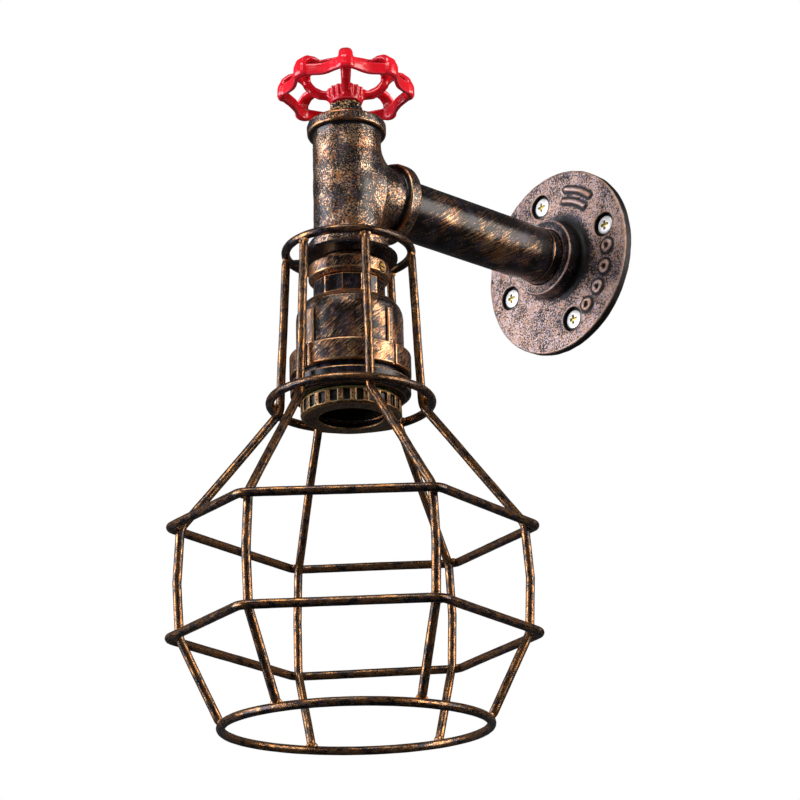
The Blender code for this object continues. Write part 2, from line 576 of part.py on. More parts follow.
def lampholder_inside():
    """Insulator, screw shell, centre contact and terminals."""
    inner = SHELL_R - SHELL_WALL - GAP
    seat = SCREW_SHELL_R + GAP
    body = [(0, -68.0 * MM), (inner, -68.0 * MM), (inner, SKIRT_TOP + GAP), (seat, SKIRT_TOP + GAP)]
    body += [(seat, -76.0 * MM), (0, -76.0 * MM)]
    turned("insulator", body, CERAMIC, AXIS)
    wall = SCREW_SHELL_R - SCREW_SHELL_WALL
    top, bottom = -76.4 * MM, BARREL_BOTTOM + 1.2 * MM
    shell = [(wall, top), (SCREW_SHELL_R, top), (SCREW_SHELL_R, bottom), (wall, bottom)]
    turned("screw_shell", shell, BRASS, AXIS, closed=True)
    leaf = [(-10.4, -76.6), (-6.0, -76.6), (0.6, -78.6), (3.4, -80.2), (5.2, -78.8)]
    route = [(x * MM, height * MM) for x, height in leaf]
    contact = strap("centre_contact", route, 5.0 * MM, 0.5 * MM, 0.0, BRASS, lamp)
    rivet_at = (RIVET_X, TEE_AXIS_Y, 0)
    boolean(contact, plug("rivet_hole", 1.1 * MM, -70 * MM, -80 * MM, rivet_at, steps=12))
    rivet = [(0, -76.3 * MM), (0.7 * MM, -76.3 * MM), (0.7 * MM, -77.2 * MM), (1.7 * MM, -77.2 * MM)]
    rivet += [(1.4 * MM, -77.8 * MM), (0, -77.8 * MM)]
    turned("contact_rivet", rivet, BRASS, rivet_at, steps=12)
    for name, side in (("live_terminal", -1), ("neutral_terminal", 1)):
        place = (side * 12.0 * MM, TEE_AXIS_Y, 0)
        profile = [(0, -64.0 * MM), (3.0 * MM, -64.0 * MM), (3.0 * MM, -67.7 * MM), (0, -67.7 * MM)]
        turned(name, profile, BRASS, place, steps=16)


def leads():
    """The two wires from the terminals, up the nipple, through the tee and the pipe to the wall."""
    for name, side, finish in (("live_lead", -1, LIVE_SLEEVE), ("neutral_lead", 1, NEUTRAL_SLEEVE)):
        x = side * LEAD_OFFSET
        route = [
            (side * 7.4 * MM, TEE_AXIS_Y, -65.4 * MM),
            (x, TEE_AXIS_Y, -64.2 * MM),
            (x, TEE_AXIS_Y, 0),
            (x, -1.5 * MM, 0),
        ]
        bent = [Vector(route[0])] + rounded(route[1:], 8 * MM, steps=5)
        rod(name, bent, LEAD_R, finish, sides=1)


wall_flange()
for index in range(4):
    wall_screw(index)
arm_pipe()
tee()
stem_group()
handwheel()
cage_plate()
cage()
lampholder()
lampholder_inside()
leads()
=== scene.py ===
"""Looks of the pipe wall lamp: finely cast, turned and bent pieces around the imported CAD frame.

Castings and turned pieces are distance functions in millimetres, meshed on a grid and then drawn onto the
exact surface, so their fillets, rounded edges and worn edges come from the shape itself. Wires are swept tubes.
"""

import math
from itertools import product

import bmesh
import bpy
import numpy as np
from mathutils import Euler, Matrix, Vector, noise


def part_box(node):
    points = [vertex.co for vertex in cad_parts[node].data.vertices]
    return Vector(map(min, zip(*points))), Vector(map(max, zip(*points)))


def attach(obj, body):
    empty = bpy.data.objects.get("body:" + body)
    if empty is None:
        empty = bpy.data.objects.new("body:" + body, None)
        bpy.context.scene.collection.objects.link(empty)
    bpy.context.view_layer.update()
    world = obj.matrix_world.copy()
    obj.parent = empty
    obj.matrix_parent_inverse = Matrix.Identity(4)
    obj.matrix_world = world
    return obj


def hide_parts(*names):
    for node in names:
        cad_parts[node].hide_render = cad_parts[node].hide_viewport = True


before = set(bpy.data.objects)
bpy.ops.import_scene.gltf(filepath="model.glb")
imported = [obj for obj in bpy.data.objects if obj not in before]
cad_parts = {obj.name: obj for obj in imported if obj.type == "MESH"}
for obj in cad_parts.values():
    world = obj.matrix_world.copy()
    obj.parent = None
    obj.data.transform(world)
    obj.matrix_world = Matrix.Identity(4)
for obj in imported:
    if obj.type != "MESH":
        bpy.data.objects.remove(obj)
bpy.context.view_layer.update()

noise.seed_set(1)  # without a seed, noise_vector takes its offsets from the clock

MM = 0.001
FIXED = "wall_bracket"
TAU = math.tau


def span(node):
    """A CAD node's box in millimetres, as (low, high)."""
    low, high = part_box(node)
    return np.array(low) / MM, np.array(high) / MM


ring_low, ring_high = span("cage_top_ring")
AXIS_Y = (ring_low[1] + ring_high[1]) / 2  # the lamp axis, in mm from the wall
LAMP_AXIS = Vector((0, AXIS_Y * MM, 0))
WALL_AXIS = Vector((0, 0, 0))

WIRE_R = (ring_high[2] - ring_low[2]) / 2
FLANGE_THICK = 5.0
PIPE_SOCKET_R = 14.3  # sockets of the flange and the tee, around a 28 mm pipe
SMALL_BORE_R = 5.3  # bores around the lampholder's nipple


# ---------------------------------------------------------------------------------------- distance functions


def blend(a, b, reach):
    """The union of two distances, with a fillet of that reach where they meet."""
    share = np.clip(0.5 + 0.5 * (b - a) / reach, 0, 1)
    return b + (a - b) * share - reach * share * (1 - share)


def cut(a, b, reach=0.3):
    """a without b, with the cut's edge rounded."""
    return -blend(-a, b, reach)


def inset(points, amount):
    """A closed outline moved inwards, so that growing it again rounds its outer corners."""
    points = np.array(points, float)
    before, after = np.roll(points, 1, 0), np.roll(points, -1, 0)
    turn = np.sign(np.sum(points[:, 0] * after[:, 1] - after[:, 0] * points[:, 1]))
    first = points - before
    second = after - points
    first /= np.linalg.norm(first, axis=1)[:, None]
    second /= np.linalg.norm(second, axis=1)[:, None]
    normal_a = np.stack([-first[:, 1], first[:, 0]], 1) * turn
    normal_b = np.stack([-second[:, 1], second[:, 0]], 1) * turn
    middle = normal_a + normal_b
    return points + amount * middle * (2 / np.sum(middle * middle, axis=1))[:, None]


def outline(points, across, along):
    """Signed distance to a closed outline, negative inside."""
    best = np.full(across.shape, 1e9)
    inside = np.zeros(across.shape, bool)
    for (ax, ay), (bx, by) in zip(points, np.roll(points, -1, 0)):
        ex, ey = bx - ax, by - ay
        wx, wy = across - ax, along - ay
        share = np.clip((wx * ex + wy * ey) / (ex * ex + ey * ey), 0, 1)
        best = np.minimum(best, (wx - ex * share) ** 2 + (wy - ey * share) ** 2)
        above, below, side = along >= ay, along < by, ex * wy > ey * wx
        inside ^= (above & below & side) | ~(above | below | side)
    return np.where(inside, -1, 1) * np.sqrt(best)


def turned(profile, rounding):
    """The distance of a turned piece from its closed (radius, height) outline."""
    shrunk = inset(profile, rounding)
    return lambda r, h: outline(shrunk, r, h) - rounding


def box(x, y, z, half, rounding=0.0):
    """A box with rounded edges."""
    gaps = [np.abs(value) - size + rounding for value, size in zip((x, y, z), half)]
    outer = np.sqrt(sum(np.maximum(gap, 0) ** 2 for gap in gaps))
    return outer + np.minimum(np.maximum(np.maximum(gaps[0], gaps[1]), gaps[2]), 0) - rounding


def chain(route, across, along):
    """Distance to a line through (across, along) points."""
    best = np.full(across.shape, 1e9)
    for (ax, ay), (bx, by) in zip(route, route[1:]):
        ex, ey = bx - ax, by - ay
        wx, wy = across - ax, along - ay
        share = np.clip((wx * ex + wy * ey) / (ex * ex + ey * ey), 0, 1)
        best = np.minimum(best, np.hypot(wx - ex * share, wy - ey * share))
    return best


def slab(flat, side, rounding):
    """What is inside both distances, with rounded edges."""
    a, b = flat + rounding, side + rounding
    return np.hypot(np.maximum(a, 0), np.maximum(b, 0)) + np.minimum(np.maximum(a, b), 0) - rounding


def fold(angle, count, phase=0.0):
    """The angle from the nearest of count equal directions."""
    step = TAU / count
    return (angle - phase + step / 2) % step - step / 2


# ---------------------------------------------------------------------------------------------- meshing


def sample(distance, low, high, cell):
    """The distance on a grid, worked out finely only near the surface."""
    coarse = 4
    size = [int(math.ceil((b - a) / cell / coarse)) * coarse for a, b in zip(low, high)]
    axes = [a + cell * np.arange(0, n + coarse + 1) for a, n in zip(low, size)]
    rough = [axis[coarse // 2 :: coarse] for axis in axes]
    guess = distance(*np.meshgrid(*rough, indexing="ij"))
    for axis in range(3):
        guess = np.repeat(guess, coarse, axis)
    axes = [axis[: guess.shape[i]] for i, axis in enumerate(axes)]
    near = np.abs(guess) < cell * coarse * 1.9
    grid = np.meshgrid(*axes, indexing="ij")
    guess[near] = distance(*(value[near] for value in grid))
    return guess, np.array([axis[0] for axis in axes])


def surface_net(field, low, cell):
    """Points and quads of the surface where the sampled distance is zero."""
    inside = field < 0
    shape = [n - 1 for n in field.shape]
    corner = {
        offset: tuple(slice(o, o + n) for o, n in zip(offset, shape))
        for offset in product((0, 1), repeat=3)
    }
    count = sum(inside[part].astype(np.int8) for part in corner.values())
    active = (count > 0) & (count < 8)
    number = np.full(active.shape, -1)
    number[active] = np.arange(active.sum())
    total = np.zeros((active.sum(), 3))
    hits = np.zeros((active.sum(), 1))
    for start, end in product(corner, repeat=2):
        step = np.subtract(end, start)
        if sorted(step) != [0, 0, 1]:
            continue
        a, b = field[corner[start]][active], field[corner[end]][active]
        crossed = (a < 0) != (b < 0)
        share = np.where(crossed, a / np.where(crossed, a - b, 1), 0)
        total += crossed[:, None] * (np.array(start) + share[:, None] * step)
        hits += crossed[:, None]
    points = low + cell * (np.argwhere(active) + total / hits)
    quads = []
    for axis in range(3):
        along, ids = np.moveaxis(inside, axis, 0), np.moveaxis(number, axis, 0)
        first, second = along[:-1, 1:-1, 1:-1], along[1:, 1:-1, 1:-1]
        changed = first != second
        around = np.stack([ids[:, :-1, :-1], ids[:, 1:, :-1], ids[:, 1:, 1:], ids[:, :-1, 1:]], -1)[changed]
        outward = first[changed] if axis != 1 else second[changed]
        quads.append(np.where(outward[:, None], around, around[:, ::-1]))
    return points, np.concatenate(quads)


def slope(distance, points, step):
    """The distance's gradient and the surface's curvature, per mm, at the points."""
    here = distance(*points.T)
    gradient = np.zeros(points.shape)
    bend = -6 * here
    for axis in range(3):
        ahead, behind = points.copy(), points.copy()
        ahead[:, axis] += step
        behind[:, axis] -= step
        a, b = distance(*ahead.T), distance(*behind.T)
        gradient[:, axis] = (a - b) / (2 * step)
        bend += a + b
    return here, gradient, bend / step**2


def draw_on(distance, points, rounds=3):
    """Moves the points onto the surface."""
    for _ in range(rounds):
        here, gradient, _ = slope(distance, points, 0.02)
        length = np.maximum(np.sum(gradient**2, axis=1), 0.2)
        points = points - np.clip(here / length, -0.4, 0.4)[:, None] * gradient
    return points


def relax(points, quads, share=0.5):
    """Evens out the net."""
    total, hits = np.zeros(points.shape), np.zeros((len(points), 1))
    for a, b in ((0, 1), (1, 2), (2, 3), (3, 0)):
        np.add.at(total, quads[:, a], points[quads[:, b]])
        np.add.at(hits, quads[:, a], 1)
    return points + share * (total / np.maximum(hits, 1) - points)


def made_mesh(name, points, faces, normals=None, wear_and_painted_light=None, flow=None):
    """A smooth mesh in metres from points in mm. flow holds each point's place along and around a wire."""
    mesh = bpy.data.meshes.new(name)
    mesh.from_pydata((points * MM).tolist(), [], faces)
    mesh.shade_smooth()
    if normals is not None:
        mesh.normals_split_custom_set_from_vertices(normals.tolist())
    # Curvature per point, or a wire's facing, plus any painted shade and painted highlights that the piece adds
    attribute = mesh.attributes.new("wear_and_painted_light", "FLOAT", "POINT")
    values = np.zeros(len(points)) if wear_and_painted_light is None else wear_and_painted_light
    attribute.data.foreach_set("value", values.astype(np.float32))
    if flow is not None:
        attribute = mesh.attributes.new("flow", "FLOAT_VECTOR", "POINT")
        attribute.data.foreach_set("vector", flow.astype(np.float32).ravel())
    return mesh


def placed(name, mesh, finish, at, body, nodes=()):
    """Puts a piece in place, on its body, in the place of its CAD nodes."""
    piece = bpy.data.objects.new(name, mesh)
    bpy.context.scene.collection.objects.link(piece)
    mesh.materials.append(finish)
    piece.location = at
    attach(piece, body)
    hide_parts(*nodes)
    return piece


def cast_mesh(name, distance, low, high, cell, lumps=0.0, lump_size=4.0, shade=None):
    """The mesh of a distance function.

    Lumps are the height of the casting's unevenness, and shade(x, y, z) adds to the curvature that the finishes
    read: below 0 for painted shade and for a recess's own colour, above 0 for rubbing and painted highlights.
    """
    field, start = sample(distance, np.array(low, float) - 1.2, np.array(high, float) + 1.2, cell)
    points, quads = surface_net(field, start, cell)
    points = draw_on(distance, points)
    points = draw_on(distance, relax(points, quads))
    _, gradient, bend = slope(distance, points, 0.35)
    normals = gradient / np.maximum(np.linalg.norm(gradient, axis=1), 1e-6)[:, None]
    bend = np.clip(bend, -3, 3)
    # shade adds each piece's own marks to the curvature: painted shade, painted highlights, rubbing and recess
    # colour
    if shade:
        bend = bend + shade(*points.T)
    if lumps:
        height = np.array([noise.noise(Vector(point / lump_size)) for point in points])
        points = points + normals * (lumps * height)[:, None]
    return made_mesh(name, points, quads.tolist(), None if lumps else normals, bend)


def polar(x, y):
    """Radius and angle about the axis."""
    return np.hypot(x, y), np.arctan2(y, x)


# --------------------------------------------------------------------------------------------- materials


class Nodes:
    """Builds a node tree from plain calls. Positions are in millimetres."""

    def __init__(self, name, along_wire=False):
        self.along_wire = along_wire
        self.material = bpy.data.materials.new(name)
        self.material.use_nodes = True
        self.tree = self.material.node_tree
        self.shader = self.tree.nodes["Principled BSDF"]

    def link(self, value, socket):
        """Links an output to the socket, or sets a constant on it."""
        if isinstance(value, bpy.types.NodeSocket):
            self.tree.links.new(value, socket)
        else:
            socket.default_value = value

    def node(self, kind, inputs, output=0, **settings):
        """Adds a node and gives back one of its outputs."""
        made = self.tree.nodes.new(kind)
        for key, value in settings.items():
            setattr(made, key, value)
        for key, value in inputs.items():
            self.link(value, made.inputs[key])
        return made.outputs[output]

    def place(self, stretch=(1, 1, 1), twist=None):
        """The piece's own coordinates in mm, stretched, or twisted about an axis by (axis, radians per mm)."""
        if self.along_wire:
            here = self.node("ShaderNodeAttribute", {}, 1, attribute_name="flow")
            return self.node("ShaderNodeVectorMath", {0: here, 1: stretch}, operation="MULTIPLY")
        here = self.node("ShaderNodeTexCoord", {}, 3)
        here = self.node("ShaderNodeVectorMath", {0: here, "Scale": 1 / MM}, operation="SCALE")
        if twist:
            axis, rate = twist
            parts = self.node("ShaderNodeSeparateXYZ", {0: here}, axis)
            turn = {"Vector": here, "Angle": self.sum(parts, rate, "MULTIPLY")}
            kind = ("X_AXIS", "Y_AXIS", "Z_AXIS")[axis]
            here = self.node("ShaderNodeVectorRotate", turn, rotation_type=kind)
        return self.node("ShaderNodeVectorMath", {0: here, 1: stretch}, operation="MULTIPLY")

    def noise(self, size, detail=2.0, rough=0.5, stretch=(1, 1, 1), twist=None, shift=0.0):
        """Cloudy noise from 0 to 1 whose features are about that many mm across."""
        where = self.place(tuple(value / size for value in stretch), twist)
        where = self.node("ShaderNodeVectorMath", {0: where, 1: (shift, shift, shift)}, operation="ADD")
        settings = {"Vector": where, "Scale": 1.0, "Detail": detail, "Roughness": rough}
        return self.node("ShaderNodeTexNoise", settings)

    def sum(self, a, b, operation="ADD"):
        """The sum of two values, or another operation on them."""
        return self.node("ShaderNodeMath", {0: a, 1: b}, operation=operation)

    def step(self, value, low, high, to_low=0.0, to_high=1.0):
        """Runs smoothly from to_low to to_high as the value goes from low to high."""
        inputs = {"Value": value, "From Min": low, "From Max": high, "To Min": to_low, "To Max": to_high}
        return self.node("ShaderNodeMapRange", inputs, interpolation_type="SMOOTHSTEP")

    def mix(self, share, a, b):
        """Colour a where the share is 0 and b where it is 1."""
        made = self.tree.nodes.new("ShaderNodeMix")
        made.data_type = "RGBA"
        self.link(share, made.inputs[0])
        for colour, socket in ((a, made.inputs[6]), (b, made.inputs[7])):
            self.link((*colour, 1) if isinstance(colour, tuple) else colour, socket)
        return made.outputs[2]

    def wear_and_painted_light(self):
        """How sharply the surface bends out, per mm: above 0 on edges, below 0 in corners, plus the painted shade
        and painted highlights that some pieces add.
        """
        return self.node("ShaderNodeAttribute", {}, 2, attribute_name="wear_and_painted_light")

    def bump(self, height, reach):
        """Bumps that stand up to reach mm high."""
        return self.node("ShaderNodeBump", {"Height": height, "Distance": reach * MM, "Strength": 1.0})

    def finish(self, **sockets):
        """Connects the shader's sockets, named with _ for a space, and gives back the material."""
        for key, value in sockets.items():
            socket = self.shader.inputs[key.replace("_", " ")]
            if isinstance(value, tuple):
                value = (*value, 1)
            self.link(value, socket)
        return self.material


INK = (0.006, 0.005, 0.005)
SLATE = (0.024, 0.020, 0.030)
COPPER = (0.44, 0.18, 0.07)
TAN = (0.50, 0.32, 0.18)


def antique(name, speck, cover, edge=0.25, bright=COPPER, second=TAN, haze=SLATE, streak=None, rough=0.26,
            dull=0.20, gloss=0.32, grain=0.10, patch=14.0, cloudy=0.35, crisp=0.035, along_wire=False):
    """Near-black bronze finish, worn back to copper in specks or streaks and along the edges.

    speck is the size of the copper specks in mm, cover the share of the surface that they take, and edge how
    strongly the edges are worn. streak (axis, radians per mm, length) is the direction of the brushing, if any.
    dull is how much rougher the copper is than the ground, gloss the specular level, grain the height of the bumps
    in mm, patch the size of the cloudy patches, cloudy their strength, and crisp the softness of a speck's edge.
    """
    n = Nodes(name, along_wire)
    fine = n.noise(speck, 3.0, 0.6)
    cloud = n.sum(n.sum(n.noise(patch, 3.0, 0.55, shift=7.0), 0.5, "SUBTRACT"), cloudy, "MULTIPLY")
    marks = fine
    if streak:
        axis, rate, length = streak
        stretch = [1.0, 1.0, 1.0]
        stretch[axis] = speck / length
        lines = n.noise(speck, 3.0, 0.65, tuple(stretch), (axis, rate), 3.0)
        strokes = n.noise(speck * 3, 1.0, 0.5, tuple(stretch), (axis, rate), 11.0)
        marks = n.sum(n.sum(lines, 0.5, "MULTIPLY"), n.sum(strokes, 0.15, "MULTIPLY"))
        marks = n.sum(marks, n.sum(fine, 0.35, "MULTIPLY"))
    # Hollows keep a dark patina; the same masks turn the painted shade and painted highlights that some pieces add
    # to the curvature into dark ground and copper.
    bend = n.wear_and_painted_light()
    worn = n.step(bend, 0.25, 1.2, 0.0, edge)
    patina_and_painted_shade = n.step(bend, -1.0, -0.05, 0.4, 0.0)
    marks = n.sum(n.sum(n.sum(marks, cloud), worn), patina_and_painted_shade, "SUBTRACT")
    middle = 0.5 + (0.5 - cover) * 0.42
    copper_showing = n.step(marks, middle - crisp, middle + crisp)
    tone = n.sum(n.noise(patch * 0.5, 2.0, 0.5, shift=19.0), n.noise(speck * 2, 1.0, 0.5, shift=23.0))
    metal_colour = n.mix(n.step(tone, 0.84, 1.16), bright, second)
    ground = n.mix(n.step(n.noise(patch * 0.45, 3.0, 0.6, shift=31.0), 0.45, 0.65), INK, haze)
    ground = n.mix(n.step(bend, -1.0, -0.3), INK, ground)
    height = n.sum(fine, n.noise(speck * 0.5, 1.0, 0.5, shift=5.0))
    return n.finish(
        Base_Color=n.mix(copper_showing, ground, metal_colour),
        Metallic=n.step(copper_showing, 0.0, 1.0, 0.2, 1.0),
        Roughness=n.step(copper_showing, 0.0, 1.0, rough, rough + dull),
        Specular_IOR_Level=gloss,
        Normal=n.bump(height, grain),
    )


def plain(name, colour, second, size, rough, metal, bump=0.03, **constants):
    """An even finish with slight variation in colour, gloss and height."""
    n = Nodes(name)
    cloud = n.noise(size, 3.0, 0.55)
    return n.finish(
        Base_Color=n.mix(n.step(cloud, 0.35, 0.65), colour, second),
        Roughness=n.step(cloud, 0.3, 0.7, rough * 0.85, rough * 1.15),
        Metallic=metal,
        Normal=n.bump(n.noise(size * 0.2, 2.0, 0.5, shift=4.0), bump),
        **constants,
    )


def plated_screw():
    """Bright plating that keeps a yellow tint in the recess."""
    n = Nodes("plated_screw")
    deep = n.step(n.wear_and_painted_light(), -0.9, -0.15, 1.0, 0.0)
    cloud = n.noise(2.0, 2.0, 0.5)
    return n.finish(
        Base_Color=n.mix(deep, (0.92, 0.92, 0.89), (0.50, 0.38, 0.07)),
        Roughness=n.step(cloud, 0.3, 0.7, 0.30, 0.38),
        Metallic=0.5,
        Normal=n.bump(cloud, 0.02),
    )


def enamel():
    """Thick glossy red enamel over a casting."""
    n = Nodes("red_enamel")
    cloud = n.noise(9.0, 2.0, 0.5)
    thin = n.step(n.wear_and_painted_light(), 0.5, 1.6)
    colour = n.mix(n.step(cloud, 0.35, 0.65), (0.90, 0.008, 0.024), (0.74, 0.006, 0.018))
    colour = n.mix(thin, colour, (0.86, 0.05, 0.08))
    return n.finish(
        Base_Color=colour,
        Roughness=n.step(cloud, 0.3, 0.7, 0.16, 0.26),
        Normal=n.bump(n.noise(3.0, 2.0, 0.5, shift=8.0), 0.05),
        Coat_Weight=0.25,
        Coat_Roughness=0.08,
    )


CAST = antique("antique_cast", 0.75, 0.35, second=(0.52, 0.35, 0.22), haze=(0.030, 0.026, 0.038), rough=0.27,
               dull=0.06, gloss=0.5, grain=0.06, patch=13.0, cloudy=0.5, crisp=0.05)
DARK_CAST = antique("dark_cast", 0.8, 0.10, 0.2, grain=0.10, patch=12.0, rough=0.2)
FLANGE = antique("antique_flange", 0.8, 0.52, 0.3, bright=(0.42, 0.26, 0.18), second=(0.49, 0.36, 0.33),
                 haze=(0.05, 0.04, 0.065), grain=0.2, patch=9.0, rough=0.32, dull=0.16, cloudy=0.45, crisp=0.08)
PIPE = antique("brushed_pipe", 0.45, 0.28, streak=(1, 0.06, 6.0), grain=0.04, patch=16.0, rough=0.20, dull=0.12,
               cloudy=0.5, crisp=0.05)
HOLDER = antique("brushed_holder", 0.45, 0.36, 0.4, streak=(2, -0.045, 3.0), grain=0.05, patch=11.0, rough=0.18,
                 dull=0.14, cloudy=0.4, crisp=0.05)
BAND = antique("brushed_band", 0.5, 0.46, 0.4, streak=(2, -0.045, 2.5), grain=0.05, patch=9.0, rough=0.18,
               dull=0.14, crisp=0.05)
NECK = antique("polished_neck", 0.6, 0.26, 0.35, streak=(2, -0.045, 4.0), grain=0.03, patch=8.0, rough=0.13)
# A darker copy of the holder's finish with few copper specks: painted shade for the skirt under the band.
SKIRT = antique("skirt_painted_shade", 0.5, 0.12, 0.25, streak=(2, -0.045, 3.0), grain=0.04, patch=8.0, rough=0.22)
NUT = antique("brushed_nut", 0.6, 0.48, 0.35, bright=(0.30, 0.14, 0.055), second=(0.38, 0.25, 0.12), grain=0.06,
              patch=6.0)
WIRE = antique("antique_wire", 0.55, 0.46, 0.0, bright=(0.40, 0.17, 0.055), second=(0.42, 0.23, 0.10),
               streak=(2, 0.0, 4.0), rough=0.20, dull=0.06, grain=0.04, patch=6.0, cloudy=0.25, crisp=0.07,
               along_wire=True)
WELD = antique("weld_bead", 0.8, 0.32, 0.2, bright=(0.42, 0.17, 0.045), grain=0.08, patch=5.0)
COLLAR = antique("speckled_collar", 1.1, 0.34, 0.1, bright=(0.62, 0.50, 0.30), second=(0.48, 0.28, 0.10),
                 grain=0.5)
SCREW = plated_screw()
RED = enamel()
NICKEL = plain("nickel_steel", (0.62, 0.61, 0.58), (0.50, 0.49, 0.46), 4.0, 0.28, 1.0)
BRASS = plain("brass", (0.55, 0.38, 0.14), (0.42, 0.28, 0.10), 4.0, 0.34, 1.0)
# Brass darkened to near black for the parts inside the socket: partly age, partly painted shade in the socket's
# mouth.
DARK_BRASS = plain("aged_brass_painted_shade", (0.025, 0.019, 0.013), (0.014, 0.011, 0.008), 4.0, 0.45, 0.6)
CERAMIC = plain("white_ceramic", (0.72, 0.70, 0.65), (0.62, 0.60, 0.55), 5.0, 0.45, 0.0)
FIBRE = plain("fibre_washer", (0.30, 0.27, 0.07), (0.20, 0.18, 0.05), 2.0, 0.75, 0.0, 0.06)
BROWN = plain("brown_sleeve", (0.20, 0.09, 0.04), (0.16, 0.07, 0.03), 3.0, 0.5, 0.0)
BLUE = plain("blue_sleeve", (0.05, 0.12, 0.45), (0.04, 0.09, 0.38), 3.0, 0.5, 0.0)


# ------------------------------------------------------------------------------------------------ pieces


def flange():
    """Cast disc with its round boss, four stepped screw holes and the pipe's socket."""
    low, high = span("wall_flange")
    radius, boss_top, back = high[0], -low[1], 0.2
    thick, boss_r, fillet, seat = FLANGE_THICK, 19.3, 3.2, 2.0
    hole_r, shank_r, circle_r, tilt = 6.2, 2.8, 34.7, math.radians(15)
    disc = turned([(0, back), (radius, back), (radius, thick), (0, thick)], 0.7)
    boss = turned([(0, 3), (boss_r, 3), (boss_r, boss_top), (0, boss_top)], 0.6)

    def from_screw(x, z):
        r, angle = polar(x, z)
        turn = fold(angle, 4, tilt)
        return np.hypot(r * np.cos(turn) - circle_r, r * np.sin(turn))

    def distance(x, y, z):
        r = np.hypot(x, z)
        depth = -y
        body = blend(disc(r, depth), boss(r, depth), fillet)
        body = cut(body, np.maximum(r - PIPE_SOCKET_R, -20 - depth), 0.5)
        away = from_screw(x, z)
        hole = np.minimum(np.maximum(away - hole_r, seat - depth), away - shank_r)
        return cut(body, hole, 0.5)

    def patina_and_painted_shade(x, y, z):
        """Painted shade on one side around the boss, on the rim's side, in the screw holes and as dark outlines
        around the marks.
        """
        r = np.hypot(x, z)
        front = np.clip(-y - 0.8, 0, 1)
        one_side = 0.5 + 0.5 * np.tanh((x + z / 2 + 4) / 9)
        around_boss = np.exp(-(((r - boss_r - 1.0) / 6.0) ** 2)) * one_side * front
        rim_side = np.clip((r - radius + 0.5) / 0.3, 0, 1) * np.clip((y + thick - 0.5) / 0.4, 0, 1)
        in_hole = np.clip((hole_r + 0.2 - from_screw(x, z)) / 0.4, 0, 1)
        holes = in_hole * np.clip((y + thick) / 0.3, 0, 1) * front
        around_marks = np.exp(-((mark_distance(x, y, z) / 1.1) ** 2))
        return -0.65 * around_boss - 1.2 * rim_side - 2.5 * holes - 1.2 * around_marks

    mesh = cast_mesh("flange", distance, low, high, 0.62, lumps=0.16, lump_size=5.0, shade=patina_and_painted_shade)
    placed("flange", mesh, FLANGE, WALL_AXIS, FIXED, ["wall_flange"])


def mark_distance(x, y, z):
    """Distance to the plain marks on the flange's face: two arcs over the boss and four rings beside it."""
    row_r, ring_r, half = 35.5, 2.3, 1.25
    above = y + FLANGE_THICK
    angle = np.arctan2(z, x)
    best = np.full(x.shape, 1e9)
    turn = np.clip(angle, math.radians(47), math.radians(75))
    for radius in (31.6, 37.6):
        arc = np.hypot(np.hypot(x - radius * np.cos(turn), z - radius * np.sin(turn)), above)
        best = np.minimum(best, arc - half)
    for number in range(4):
        at = math.radians(-56 + 17 * number)
        ring = np.hypot(x - row_r * math.cos(at), z - row_r * math.sin(at)) - ring_r
        best = np.minimum(best, np.hypot(ring, above) - half)
    return best


def flange_marks():
    """The raised marks, cast with the flange. They are generic, and spell nothing."""
    low, high = (6, -7, -34), (40, -4, 40)
    mesh = cast_mesh("flange_marks", mark_distance, low, high, 0.4, lumps=0.12, lump_size=2.0)
    placed("flange_marks", mesh, FLANGE, WALL_AXIS, FIXED)


def wall_screws():
    """Cross-head screws, domed, with a tapered recess."""
    low, high = span("wall_screw_1")
    head_r = (high[0] - low[0]) / 2
    under, top = 2.3, -low[1]
    shank_r, dome_r = 2.3, 15.0

    def distance(x, y, z):
        r = np.hypot(x, z)
        depth = -y
        dome = np.maximum(np.sqrt(r**2 + (depth - top + dome_r) ** 2) - dome_r, under - depth)
        head = slab(r - head_r, dome, 0.25)
        shank = slab(r - shank_r, np.abs(depth - 1.4) - 1.1, 0.2)
        body = np.minimum(head, shank)
        narrow, wide = np.minimum(np.abs(x), np.abs(z)), np.maximum(np.abs(x), np.abs(z))
        taper = (top - depth) * 0.18
        recess = np.maximum(np.maximum(narrow - 0.8 + taper, wide - 2.6 + taper * 2), top - 1.3 - depth)
        return cut(body, recess, 0.12)

    def sunk(x, y, z):
        """Marks the recess by its depth below the dome."""
        r = np.hypot(x, z)
        below = top - dome_r + np.sqrt(np.maximum(dome_r**2 - r**2, 0)) + y
        return -2.5 * np.clip((below - 0.05) / 0.2, 0, 1) * (r < 3.2)

    mesh = cast_mesh("wall_screw", distance, (-head_r, -top, -head_r), (head_r, 0, head_r), 0.22, shade=sunk)
    for index in range(1, 5):
        node = f"wall_screw_{index}"
        low, high = span(node)
        at = Vector(((low[0] + high[0]) / 2 * MM, 0, (low[2] + high[2]) / 2 * MM))
        shape = mesh if index == 1 else mesh.copy()
        shape.materials.clear()
        placed(f"screw_{index}", shape, SCREW, at, FIXED, [node])


def arm():
    """The pipe, with the run-out of its thread before the flange."""
    low, high = span("arm_pipe")
    radius, near, far = high[0], -high[1], -low[1]
    bore = 11.0
    wall = turned([(bore, near), (radius, near), (radius, far), (bore, far)], 0.5)

    def distance(x, y, z):
        r = np.hypot(x, z)
        run_out = np.hypot(r - radius - 0.35, -y - 20.5) - 0.8
        return cut(wall(r, -y), run_out, 0.4)

    mesh = cast_mesh("pipe", distance, low, high, 0.8, lumps=0.05, lump_size=9.0)
    placed("pipe", mesh, PIPE, WALL_AXIS, FIXED, ["arm_pipe"])


